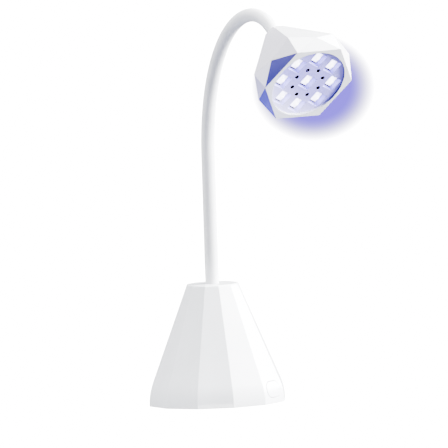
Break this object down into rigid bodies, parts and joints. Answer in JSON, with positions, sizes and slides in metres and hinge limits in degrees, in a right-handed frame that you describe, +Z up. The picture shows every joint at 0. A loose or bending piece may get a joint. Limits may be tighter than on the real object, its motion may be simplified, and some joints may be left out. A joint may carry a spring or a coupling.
{
  "type": "uv curing lamp",
  "caption": "Gooseneck curing lamp: a weighted faceted cone base with a side button, a bendable silicone-covered neck and a faceted head with a recessed plate of small round emitters.",
  "frame": {"origin": "centre of the rest plane under the base, on the neck's axis at the base", "axes": "+Z up; the neck lies in the YZ plane and the head reaches to -Y; +X to the head's left as the lamp faces the viewer"},
  "size_m": [0.0894, 0.2055, 0.2663],
  "materials": {
    "white_shell": "glossy moulded white plastic",
    "white_silicone": "satin white silicone",
    "pad_rubber": "matt dark anti-slip rubber",
    "plated_steel": "bright plated steel",
    "ballast_steel": "dull blackened steel",
    "inner_plastic": "matt moulded plastic",
    "cell_case": "shrink-wrapped cell",
    "lead_cover": "matt insulated wire",
    "board_laminate": "satin solder mask",
    "board_metal": "white solder mask on metal",
    "switch_plastic": "matt black plastic",
    "ferrule_brass": "turned brass",
    "hose_steel": "wound steel",
    "lamp_plate": "satin pale lilac moulding",
    "emitter_base": "white ceramic-like carrier",
    "emitter_lens": "clear moulded dome, lit",
    "sink_aluminium": "plain aluminium"
  },
  "bodies": {
    "base": {"base_shell": "white_shell", "bottom_cover": "white_shell", "anti_slip_pad": "pad_rubber", "cover_screws": "plated_steel", "ballast_weights": "ballast_steel", "weight_screws": "plated_steel", "battery_cradle": "inner_plastic", "battery_cell": "cell_case", "battery_clip": "plated_steel", "battery_leads": "lead_cover", "control_board": "board_laminate", "board_screws": "plated_steel", "charging_socket": "plated_steel", "button_switch": "switch_plastic", "lower_ferrule": "ferrule_brass", "lower_nut": "ferrule_brass", "lamp_lead": "lead_cover", "neck_hose_base": "hose_steel", "neck_sleeve_base": "white_silicone"},
    "button": {"power_button": "white_shell", "switch_stem": "switch_plastic"},
    "neck_1": {"neck_sleeve_1": "white_silicone", "neck_core_1": "hose_steel"},
    "neck_2": {"neck_sleeve_2": "white_silicone", "neck_core_2": "hose_steel"},
    "neck_3": {"neck_sleeve_3": "white_silicone", "neck_core_3": "hose_steel"},
    "neck_4": {"neck_sleeve_4": "white_silicone", "neck_core_4": "hose_steel"},
    "neck_5": {"neck_sleeve_5": "white_silicone", "neck_core_5": "hose_steel"},
    "neck_6": {"neck_sleeve_6": "white_silicone", "neck_core_6": "hose_steel"},
    "neck_7": {"neck_sleeve_7": "white_silicone", "neck_core_7": "hose_steel"},
    "neck_8": {"neck_sleeve_8": "white_silicone", "neck_core_8": "hose_steel"},
    "neck_9": {"neck_sleeve_9": "white_silicone", "neck_core_9": "hose_steel"},
    "neck_10": {"neck_sleeve_10": "white_silicone", "neck_core_10": "hose_steel"},
    "neck_11": {"neck_sleeve_11": "white_silicone", "neck_core_11": "hose_steel"},
    "neck_12": {"neck_sleeve_12": "white_silicone", "neck_core_12": "hose_steel"},
    "neck_13": {"neck_sleeve_13": "white_silicone", "neck_core_13": "hose_steel"},
    "head": {"neck_sleeve_head": "white_silicone", "neck_hose_head": "hose_steel", "head_lead": "lead_cover", "upper_ferrule": "ferrule_brass", "upper_nut": "ferrule_brass", "head_shell": "white_shell", "lamp_plate": "lamp_plate", "lamp_board": "board_metal", "emitters": "emitter_base", "emitter_domes": "emitter_lens", "heat_sink": "sink_aluminium", "head_screws": "plated_steel"}
  },
  "joints": [
    {"name": "neck_lean", "type": "hinge", "parent": "base", "child": "neck_1", "pos_m": [0, 0, 0.092], "axis": [1, 0, 0], "range_deg": [-14, 14]},
    {"name": "neck_sway", "type": "hinge", "parent": "neck_1", "child": "neck_2", "pos_m": [0, -0.00048, 0.11049], "axis": [0, 0.9997, 0.0262], "range_deg": [-14, 14]},
    {"name": "neck_lean_upper", "type": "hinge", "parent": "neck_2", "child": "neck_3", "pos_m": [0, -0.00097, 0.12899], "axis": [1, 0, 0], "range_deg": [-14, 14]},
    {"name": "neck_sway_upper", "type": "hinge", "parent": "neck_3", "child": "neck_4", "pos_m": [0, -0.00145, 0.14748], "axis": [0, 0.9997, 0.0262], "range_deg": [-14, 14]},
    {"name": "neck_curl", "type": "hinge", "parent": "neck_4", "child": "neck_5", "pos_m": [0, -0.00194, 0.16598], "axis": [1, 0, 0], "range_deg": [-4.8, 1.2]},
    {"name": "neck_curl_2", "type": "hinge", "parent": "neck_5", "child": "neck_6", "pos_m": [0, -0.00457, 0.1898], "axis": [1, 0, 0], "range_deg": [-10.03, 2.51]},
    {"name": "neck_curl_3", "type": "hinge", "parent": "neck_6", "child": "neck_7", "pos_m": [0, -0.01075, 0.2109], "axis": [1, 0, 0], "range_deg": [-10.94, 2.73]},
    {"name": "neck_curl_4", "type": "hinge", "parent": "neck_7", "child": "neck_8", "pos_m": [0, -0.01999, 0.22883], "axis": [1, 0, 0], "range_deg": [-11.92, 2.98]},
    {"name": "neck_curl_5", "type": "hinge", "parent": "neck_8", "child": "neck_9", "pos_m": [0, -0.03168, 0.24316], "axis": [1, 0, 0], "range_deg": [-12.99, 3.25]},
    {"name": "neck_curl_6", "type": "hinge", "parent": "neck_9", "child": "neck_10", "pos_m": [0, -0.04507, 0.25357], "axis": [1, 0, 0], "range_deg": [-14.16, 3.54]},
    {"name": "neck_curl_7", "type": "hinge", "parent": "neck_10", "child": "neck_11", "pos_m": [0, -0.05932, 0.25981], "axis": [1, 0, 0], "range_deg": [-15.44, 3.86]},
    {"name": "neck_curl_8", "type": "hinge", "parent": "neck_11", "child": "neck_12", "pos_m": [0, -0.07344, 0.26185], "axis": [1, 0, 0], "range_deg": [-16.83, 4.21]},
    {"name": "neck_curl_9", "type": "hinge", "parent": "neck_12", "child": "neck_13", "pos_m": [0, -0.08637, 0.25989], "axis": [1, 0, 0], "range_deg": [-18.34, 4.59]},
    {"name": "neck_curl_10", "type": "hinge", "parent": "neck_13", "child": "head", "pos_m": [0, -0.09706, 0.25446], "axis": [1, 0, 0], "range_deg": [-9.57, 2.39]},
    {"name": "button_press", "type": "slide", "parent": "base", "child": "button", "axis": [-0.5, 0.866, 0], "range_m": [0, 0.0008], "stiffness_N_per_m": 600, "springref_m": -0.002}
  ],
  "couplings": [
    {"joint": "neck_lean_upper", "follows": "neck_lean", "ratio": 1},
    {"joint": "neck_sway_upper", "follows": "neck_sway", "ratio": 1},
    {"joint": "neck_curl_2", "follows": "neck_curl", "ratio": 2.09},
    {"joint": "neck_curl_3", "follows": "neck_curl", "ratio": 2.2781},
    {"joint": "neck_curl_4", "follows": "neck_curl", "ratio": 2.4831},
    {"joint": "neck_curl_5", "follows": "neck_curl", "ratio": 2.7066},
    {"joint": "neck_curl_6", "follows": "neck_curl", "ratio": 2.9502},
    {"joint": "neck_curl_7", "follows": "neck_curl", "ratio": 3.2157},
    {"joint": "neck_curl_8", "follows": "neck_curl", "ratio": 3.5051},
    {"joint": "neck_curl_9", "follows": "neck_curl", "ratio": 3.8206},
    {"joint": "neck_curl_10", "follows": "neck_curl", "ratio": 1.9926}
  ]
}
